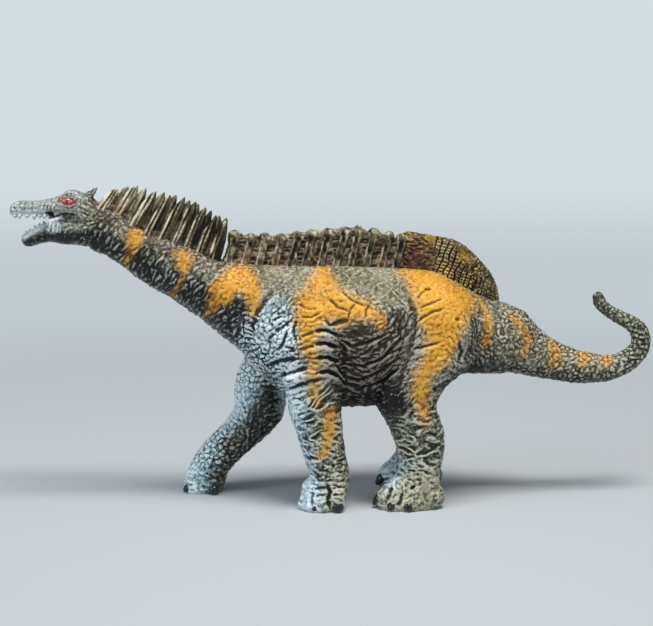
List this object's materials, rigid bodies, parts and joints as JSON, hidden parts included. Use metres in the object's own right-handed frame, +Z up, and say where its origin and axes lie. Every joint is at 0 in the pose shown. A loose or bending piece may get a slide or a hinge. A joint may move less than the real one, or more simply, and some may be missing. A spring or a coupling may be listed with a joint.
{
  "type": "toy dinosaur figure",
  "caption": "Painted long-necked dinosaur toy figure on four feet, with neck spines, a ribbed back ridge, a low hip sail and a tail that curls up.",
  "frame": {"origin": "on the ground, under the middle of the figure's bounding box", "axes": "+Z up, +X from the snout towards the tail, +Y towards the figure's right side"},
  "size_m": [0.1818, 0.0398, 0.0902],
  "materials": {
    "skin": "satin painted vinyl, grey-green with yellow-orange patches and a dark wash in the wrinkles",
    "spines": "satin painted vinyl, dark brown with pale dry-brushed edges",
    "ridge": "satin painted vinyl, grey-green tops over brown valleys",
    "sail": "satin painted vinyl, dark brown scales with gold dry-brushing"
  },
  "bodies": {
    "root": {"body_left_shell": "skin", "body_right_shell": "skin", "head": "skin", "lower_jaw": "skin", "neck_spines_left": "spines", "neck_spines_right": "spines", "back_ridge": "ridge", "hip_sail": "sail", "front_left_leg": "skin", "front_right_leg": "skin", "hind_left_leg": "skin", "hind_right_leg": "skin", "tail": "skin"}
  },
  "joints": []
}
